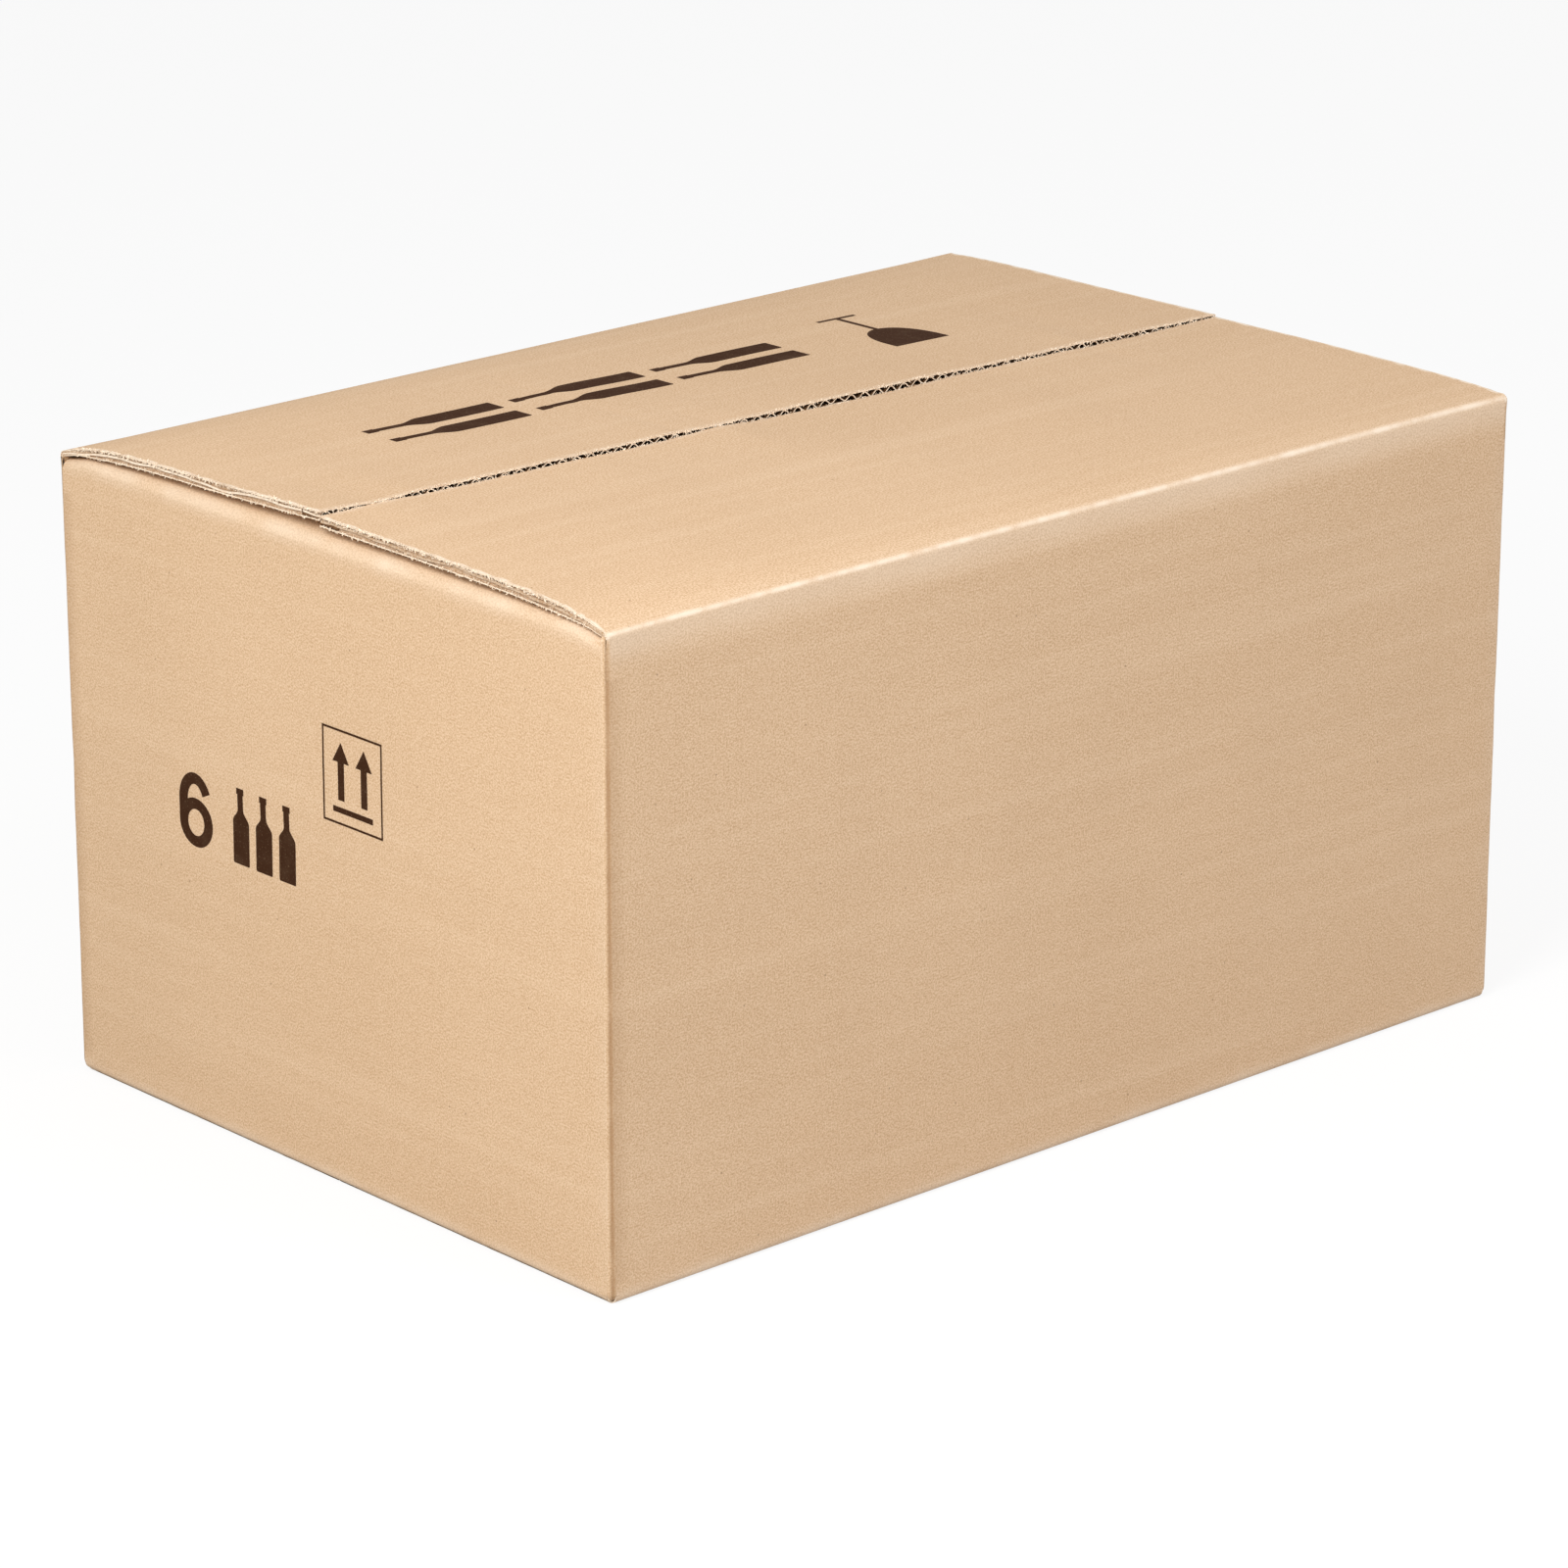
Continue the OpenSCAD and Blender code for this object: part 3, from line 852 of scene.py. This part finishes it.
# A fluted sheet: a waved grid with thickness
def fluteTree():
    tree, given = startTree("flutedSheet", {
        "Length": "Float", "Depth": "Float", "Height": "Float", "Pitch": "Float", "Thickness": "Float",
        "Points": "Int", "Paper": "Material"})
    grid = addNode(tree, "GeometryNodeMeshGrid", {
        "Size X": given["Length"], "Size Y": given["Depth"], "Vertices X": given["Points"], "Vertices Y": 4})
    position = addNode(tree, "GeometryNodeInputPosition")
    along = addNode(tree, "ShaderNodeSeparateXYZ", {0: position})
    turns = mathNode(tree, "DIVIDE", along, given["Pitch"])
    wave = mathNode(tree, "SINE", mathNode(tree, "MULTIPLY", turns, 2 * math.pi))
    lift = mathNode(tree, "MULTIPLY", wave, mathNode(tree, "MULTIPLY", given["Height"], 0.5))
    offset = addNode(tree, "ShaderNodeCombineXYZ", {2: lift})
    waved = addNode(tree, "GeometryNodeSetPosition", {"Geometry": grid, "Offset": offset})
    front = addNode(tree, "GeometryNodeExtrudeMesh", {
        "Mesh": waved, "Offset Scale": given["Thickness"], "Individual": False})
    back = addNode(tree, "GeometryNodeFlipFaces", {"Mesh": waved})
    both = tree.nodes.new("GeometryNodeJoinGeometry")
    for sheet in (front, back):
        tree.links.new(sheet, both.inputs[0])
    return endTree(tree, given, both.outputs[0])


# Runs a tree on a holder of its own, and gives back the mesh it made
def runTree(tree, settings, name, source=None):
    holder = addObject(name, source or bpy.data.meshes.new(name))
    modifier = holder.modifiers.new("nodes", "NODES")
    modifier.node_group = tree
    sockets = {item.name: item.identifier for item in tree.interface.items_tree if item.in_out == "INPUT"}
    for label, value in settings.items():
        modifier[sockets[label]] = value
    bpy.context.view_layer.update()
    mesh = bpy.data.meshes.new_from_object(holder.evaluated_get(bpy.context.evaluated_depsgraph_get()))
    holder.modifiers.remove(modifier)
    bpy.data.objects.remove(holder)
    return mesh


fluteNodes = fluteTree()


# The waved sheet laid into a cut edge, from low to high along it, behind the edge at run end
def layFlutes(name, rows):
    points, faces, cutFaces, count = [], [], [], 0
    liner, sheet = board["liner"], board["fluteThick"]
    depth, inset = openFlutes["depth"], openFlutes["inset"]
    for low, high, end, place in rows:
        length = high - low - 0.6
        mesh = runTree(fluteNodes, {
            "Length": length, "Depth": depth - inset, "Height": thick - 2 * liner - sheet,
            "Pitch": board["flutePitch"], "Thickness": sheet,
            "Points": int(length / board["flutePitch"] * openFlutes["pointsEach"]), "Paper": fluteLook}, name)
        co = np.zeros(len(mesh.vertices) * 3)
        mesh.vertices.foreach_get("co", co)
        co = co.reshape(-1, 3)
        along = co[:, 0] + (low + high) / 2
        back = end - inset - depth / 2 + co[:, 1]
        back = back + (co[:, 1] > 0) * openFlutes["fray"] * wander(along, 17, count + 5)
        back = np.minimum(back, end - 0.05)
        deep = thick / 2 + sheet / 2 - co[:, 2]
        points.append(place(along, back, np.clip(deep, liner, thick - liner)))
        front = co[:, 1] > co[:, 1].max() - 0.01
        for polygon in mesh.polygons:
            faces.append([v + count for v in polygon.vertices])
            cutFaces.append(all(front[v] for v in polygon.vertices))
        count += len(co)
        bpy.data.meshes.remove(mesh)
    mesh = bpy.data.meshes.new(name)
    mesh.from_pydata((np.concatenate(points) * toMetres).tolist(), [], faces)
    mesh.polygons.foreach_set("material_index", [int(flag) for flag in cutFaces])
    weldMesh(mesh, 0.000001, turnOut=True)
    # the waved sheet in a dark tone of painted shade, and its front edge in the pale cut tone
    mesh.materials.append(fluteLook)
    mesh.materials.append(cutLook)
    mesh.polygons.foreach_set("use_smooth", [True] * len(mesh.polygons))
    mesh.set_sharp_from_angle(angle=math.radians(50))
    return addObject(name, mesh)


cartonBuild = newBuild()
makeWalls(cartonBuild)
cartonRows = [makeFold(cartonBuild, number, label) for number, label in enumerate(cartonFolds)]
cartonBoard = finishMesh("cartonBoard", cartonBuild, boardLooks)
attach(cartonBoard, "carton")
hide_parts("carton")
cartonEdges = layFlutes("cartonFlutes", cartonRows)
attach(cartonEdges, "carton")
print("carton made:", len(cartonBoard.data.polygons), "faces")

flapPlaces = {}
flapRows = (("frontFlapBoard", -1, runOnFront, "front_flap"), ("backFlapBoard", 1, runOnBack, "back_flap"))
for label, side, runOn, body in flapRows:
    item, flapPlaces[body] = makeFlap(label, side, runOn)
    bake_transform(item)
    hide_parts(body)
    row = layFlutes(label.replace("Board", "Flutes"), [(-flapHalf, flapHalf, flapEndRun, flapPlaces[body])])
    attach(row, body)
print("flaps made")

tornBits = {
    "spacing": 0.55,
    "size": 0.85,
    "spread": 0.42,
    "depths": (0.1, 0.5, thick - 0.2),    # rows of bits down a cut end
    "edgeDepth": 0.2,
    "foldRun": 6.0,       # the bits keep clear of the bending fold
}


# Torn bits of paper along an edge: flattened grains of random size and turn
def tornTree():
    tree, given = startTree("tornBits", {
        "Geometry": "Geometry", "Spacing": "Float", "Size": "Float", "Spread": "Float",
        "Seed": "Int", "Paper": "Material"})

    def randomVector(low, high, offset):
        seed = mathNode(tree, "ADD", given["Seed"], offset)
        values = {0: low, 1: high, "Seed": seed}
        return addNode(tree, "FunctionNodeRandomValue", values, data_type="FLOAT_VECTOR")

    def scaled(vector, factor):
        return addNode(tree, "ShaderNodeVectorMath", {0: vector, "Scale": factor}, operation="SCALE")
    curve = addNode(tree, "GeometryNodeMeshToCurve", {0: given["Geometry"]})
    values = {"Curve": curve, "Length": given["Spacing"]}
    points = addNode(tree, "GeometryNodeCurveToPoints", values, mode="LENGTH")
    shift = scaled(randomVector((-1, -1, -1), (1, 1, 1), 1), given["Spread"])
    move = addNode(tree, "GeometryNodeSetPosition", {"Geometry": points, "Offset": shift})
    bit = addNode(tree, "GeometryNodeMeshIcoSphere", {"Radius": 1.0, "Subdivisions": 1})
    turn = randomVector((0, 0, 0), (6.3, 6.3, 6.3), 2)
    size = scaled(randomVector((0.25, 0.12, 0.06), (1.0, 0.4, 0.16), 3), given["Size"])
    scatter = addNode(tree, "GeometryNodeInstanceOnPoints", {
        "Points": move, "Instance": bit, "Rotation": turn, "Scale": size})
    return endTree(tree, given, scatter)


tornNodes = tornTree()


# Bits along the left cut end and the free edge of one flap
def tearFlap(name, body, seed):
    place = flapPlaces[body]
    runs = stepsTo(flatStart + tornBits["foldRun"], (flapEndRun, 1.0))
    alongs = stepsTo(-flapHalf, (flapHalf, 1.0))
    leftEnds = np.full_like(runs, -flapHalf)
    lines = [place(leftEnds, runs, np.full_like(runs, deep)) for deep in tornBits["depths"]]
    edgeDeep = np.full_like(alongs, tornBits["edgeDepth"])
    lines.append(place(alongs, np.full_like(alongs, flapEndRun), edgeDeep))
    points = np.concatenate(lines) * toMetres
    edges, first = [], 0
    for line in lines:
        edges += [(first + k, first + k + 1) for k in range(len(line) - 1)]
        first += len(line)
    source = bpy.data.meshes.new(name)
    source.from_pydata(points.tolist(), edges, [])
    mesh = runTree(tornNodes, {
        "Spacing": tornBits["spacing"] * toMetres, "Size": tornBits["size"] * toMetres,
        "Spread": tornBits["spread"] * toMetres, "Seed": seed, "Paper": cutLook}, name, source)
    item = addObject(name, mesh)
    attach(item, body)


tearFlap("frontTorn", "front_flap", 11)
tearFlap("backTorn", "back_flap", 23)
print("torn edges made")

# Print: outlines in millimetres, filled, and laid on the board
endPrint = {
    "six": {"low": (-79.0, 101.5), "size": (18.2, 26.5), "stroke": 4.7, "thin": 0.85,
            "bowl": 0.48, "crownAt": 0.58, "crown": 0.42, "opens": 28},
    "bottles": {"low": 101.5, "middles": (-45.0, -32.5, -20.0), "size": (8.8, 27.0)},
    "frame": {"low": (0.2, 129.5), "high": (31.4, 162.6), "line": 0.8},
    "arrows": {"middles": (9.8, 21.8), "low": 138.0, "high": 158.0, "width": 8.6},
    "bar": {"low": (5.4, 133.6), "high": (26.2, 135.6)},
}
flapPrint = {
    "glass": {"middle": 101.0, "rim": 42.0, "width": 26.0, "depth": 25.0, "stem": 87.5, "stemWidth": 2.1,
              "foot": 18.5, "footThick": 1.8},
    "bottles": {"first": -131.0, "step": 65.0, "count": 3, "rows": (59.0, 74.0), "size": (9.4, 58.0)},
}
inkRise = 0.06


def box2d(low, high):
    return [(low[0], low[1]), (high[0], low[1]), (high[0], high[1]), (low[0], high[1])]


def bottle2d(width, height):
    half, neck, foot = width / 2, width * 0.17, 0.4
    lip, lipAt = neck * 1.3, height * 0.92
    right = [(half - foot, 0), (half, foot)]
    for t in np.linspace(0, math.pi, 9):      # shoulder
        right.append((neck + (half - neck) * (1 + math.cos(t)) / 2, height * (0.55 + 0.17 * t / math.pi)))
    right += [(neck, lipAt), (lip, lipAt), (lip, height)]
    return right + [(-x, y) for x, y in reversed(right)]


def arrow2d(middle, low, high, width):
    neck = high - width * 0.8
    half, shaft = width / 2, width * 0.19
    return [(middle - shaft, low), (middle + shaft, low), (middle + shaft, neck), (middle + half, neck),
            (middle, high), (middle - half, neck), (middle - shaft, neck)]


def bowl2d(width, depth):
    turn = np.linspace(0, math.pi, 25)
    return [(width / 2 * math.cos(t), -depth * math.sin(t) ** 0.72) for t in turn]


def moved2d(loop, offset, turn=False):
    return [((-y if turn else x) + offset[0], (x if turn else y) + offset[1]) for x, y in loop]


def ellipse2d(middle, acrossHalf, upHalf, first, last):
    angles = np.radians(np.linspace(first, last, 37))
    return [(middle[0] + acrossHalf * math.cos(t), middle[1] + upHalf * math.sin(t)) for t in angles]


def fillLoops(name, loops):
    data = bpy.data.curves.new(name, "CURVE")
    data.dimensions = "2D"
    data.fill_mode = "BOTH"
    for loop in loops:
        spline = data.splines.new("POLY")
        spline.points.add(len(loop) - 1)
        spline.use_cyclic_u = True
        for point, (x, y) in zip(spline.points, loop):
            point.co = (x, y, 0, 1)
    holder = addObject(name, data)
    mesh = bpy.data.meshes.new_from_object(holder.evaluated_get(bpy.context.evaluated_depsgraph_get()))
    bpy.data.objects.remove(holder)
    return mesh


# Fine triangles let the print follow the board
def layPrint(name, loops, place, body):
    work = bmesh.new()
    work.from_mesh(fillLoops(name + "Outline", loops))
    for turn in range(6):
        bmesh.ops.triangulate(work, faces=work.faces)
        longEdges = [edge for edge in work.edges if edge.calc_length() > 4]
        if not longEdges:
            break
        bmesh.ops.subdivide_edges(work, edges=longEdges, cuts=1)
    bmesh.ops.triangulate(work, faces=work.faces)
    flat = np.array([vertex.co[:] for vertex in work.verts])
    for vertex, point in zip(work.verts, place(flat[:, 0], flat[:, 1]) * toMetres):
        vertex.co = point
    outward = place(flat[:1, 0], flat[:1, 1], -1)[0] - place(flat[:1, 0], flat[:1, 1], 0)[0]
    work.normal_update()
    total = sum((face.normal * face.calc_area() for face in work.faces), Vector())
    if total.dot(Vector(outward)) < 0:
        bmesh.ops.reverse_faces(work, faces=work.faces)
    ready = bpy.data.meshes.new(name)
    work.to_mesh(ready)
    work.free()
    ready.validate()  # drops doubled faces
    ready.materials.append(inkLook)
    item = addObject(name, ready)
    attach(item, body)


def onEndPanel(across, up, deep=-inkRise):
    return wallPoint(runOnLeft(-across), up, np.full_like(across, deep))


# A little further out, where two prints overlap
def overEndPanel(across, up, deep=-inkRise * 1.2):
    return onEndPanel(across, up, deep)


def onBackFlap(x, y, deep=-inkRise):
    over = halfW - y - flap["foldRadius"]
    return flapPlaces["back_flap"](x, flatStart + over, np.full_like(x, deep))


def printEnd():
    six, row, mark = endPrint["six"], endPrint["bottles"], endPrint["frame"]
    arrows, bar, line = endPrint["arrows"], endPrint["bar"], mark["line"]
    left, low = six["low"]
    wide, high = six["size"]
    stroke, thin = six["stroke"], six["stroke"] * six["thin"]
    half, bowlHalf, crownHalf = wide / 2, wide * six["bowl"], high * six["crown"]
    middle, crown = (left + half, low + bowlHalf), (left + half, low + high * six["crownAt"])
    bowl = ellipse2d(middle, half, bowlHalf, 0, 360)
    hole = ellipse2d(middle, half - stroke, bowlHalf - thin, 0, 360)
    layPrint("printSixBowl", [bowl[:-1], hole[:-1]], onEndPanel, "carton")
    outside = ellipse2d(crown, half, crownHalf, six["opens"], 180)
    inside = ellipse2d(crown, half - stroke, crownHalf - thin, 180, six["opens"])
    hook = outside + [(left, low + bowlHalf), (left + stroke, low + bowlHalf)] + inside
    layPrint("printSixHook", [hook], overEndPanel, "carton")
    loops = [moved2d(bottle2d(*row["size"]), (spot, row["low"])) for spot in row["middles"]]
    inside = box2d([v + line for v in mark["low"]], [v - line for v in mark["high"]])
    loops += [box2d(mark["low"], mark["high"]), inside, box2d(bar["low"], bar["high"])]
    loops += [arrow2d(spot, arrows["low"], arrows["high"], arrows["width"]) for spot in arrows["middles"]]
    layPrint("printEnd", loops, onEndPanel, "carton")


def printFlap():
    glass, row = flapPrint["glass"], flapPrint["bottles"]
    middle, half, stem = glass["middle"], glass["foot"] / 2, glass["stemWidth"] / 2
    bowl = [(x + middle, glass["rim"] - y) for x, y in bowl2d(glass["width"], glass["depth"])]
    foot = box2d((middle - half, glass["stem"]), (middle + half, glass["stem"] + glass["footThick"]))
    stemTop, stemEnd = glass["rim"] + glass["depth"] - 0.6, glass["stem"] + 0.1      # into bowl and foot
    loops = [bowl, foot, box2d((middle - stem, stemTop), (middle + stem, stemEnd))]
    for level in row["rows"]:
        for number in range(row["count"]):
            spot = (row["first"] + number * row["step"] + row["size"][1], level)
            loops.append(moved2d(bottle2d(*row["size"]), spot, True))
    for number, loop in enumerate(loops):
        layPrint(f"printFlap{number + 1}", [loop], onBackFlap, "back_flap")


printEnd()
printFlap()
print("print laid")

for node in ("lower_tray", "layer_pad", "upper_tray", "left_end_buffer", "right_end_buffer"):
    item = frame["nodes"][node]
    item.data.materials.clear()
    item.data.materials.append(insertLook)

# Camera at the photograph's view
view = {
    "place": (-1.4021, -1.5329, 0.7943),
    "yaw": 47.66,
    "down": 18.64,
    "lens": 142.6,
}
cameraData = bpy.data.cameras.new("camera")
cameraData.lens = view["lens"]
cameraData.sensor_width = 36
camera = addObject("camera", cameraData)
camera.location = view["place"]
yaw, down = math.radians(view["yaw"]), math.radians(view["down"])
look = Vector((math.cos(yaw) * math.cos(down), math.sin(yaw) * math.cos(down), -math.sin(down)))
camera.rotation_mode = "QUATERNION"
camera.rotation_quaternion = look.to_track_quat("-Z", "Y")
scene.camera = camera

# White studio: pale floor that keeps a soft shadow, even light from large lamps
scene.view_settings.view_transform = "Standard"
studio = {
    "floor": 6.0,
    "rough": 0.9,
    "shine": 0.5,
    "shadow": 0.15,       # share of the floor that takes light and shadow
    "world": 0.55,
    "paint": (0.95, 0.95, 0.95, 1),
    "bounce": (0.55, 0.55, 0.55, 1),
}


# 1 for what the camera sees, straight or by a glossy or clear surface, and 0 for other light
def seenRays(tree):
    rays = tree.nodes.new("ShaderNodeLightPath").outputs
    seen = mathNode(tree, "MAXIMUM", rays["Is Camera Ray"], rays["Is Glossy Ray"])
    return mathNode(tree, "MAXIMUM", seen, rays["Is Transmission Ray"])


def makeStudio():
    half = studio["floor"] / 2
    mesh = bpy.data.meshes.new("floor")
    mesh.from_pydata([corner + (0,) for corner in box2d((-half, -half), (half, half))], [], [(0, 1, 2, 3)])
    floor = addObject("floor", mesh)
    material, tree, shader = newMaterial("paleFloor", studio["rough"], studio["shine"])
    seen = seenRays(tree)
    tree.links.new(mixColour(tree, seen, studio["bounce"], studio["paint"]), shader.inputs["Base Color"])
    glow = addNode(tree, "ShaderNodeEmission", {"Strength": 1.0})
    share = mathNode(tree, "MULTIPLY", seen, 1 - studio["shadow"])
    mix = addNode(tree, "ShaderNodeMixShader", {0: share, 1: shader.outputs[0], 2: glow})
    tree.links.new(mix, tree.nodes["Material Output"].inputs[0])
    mesh.materials.append(material)
    world = bpy.data.worlds.new("studio")
    world.use_nodes = True
    tree = world.node_tree
    back = tree.nodes["Background"]
    level = mathNode(tree, "MULTIPLY", seenRays(tree), 1 - studio["world"])
    tree.links.new(mathNode(tree, "ADD", level, studio["world"]), back.inputs["Strength"])
    back.inputs["Color"].default_value = (1, 1, 1, 1)
    scene.world = world


lampAim = (0, 0, 0.12)
lamps = {
    "keyLamp": {"place": (-1.1, -0.42, 1.02), "size": 0.6, "power": 15.0, "tint": (1.0, 0.99, 0.965)},
    "frontLamp": {"place": (0.5, -1.5, 1.3), "size": 1.0, "power": 12.0, "tint": (1.0, 1.0, 1.05)},
}


def makeLamps():
    for name, lamp in lamps.items():
        data = bpy.data.lights.new(name, "AREA")
        data.energy = lamp["power"]
        data.color = lamp["tint"]
        data.size = lamp["size"]
        item = addObject(name, data)
        item.location = lamp["place"]
        aim = Vector(lampAim) - Vector(lamp["place"])
        item.rotation_euler = aim.to_track_quat("-Z", "Y").to_euler()


makeStudio()
makeLamps()
print("studio made")
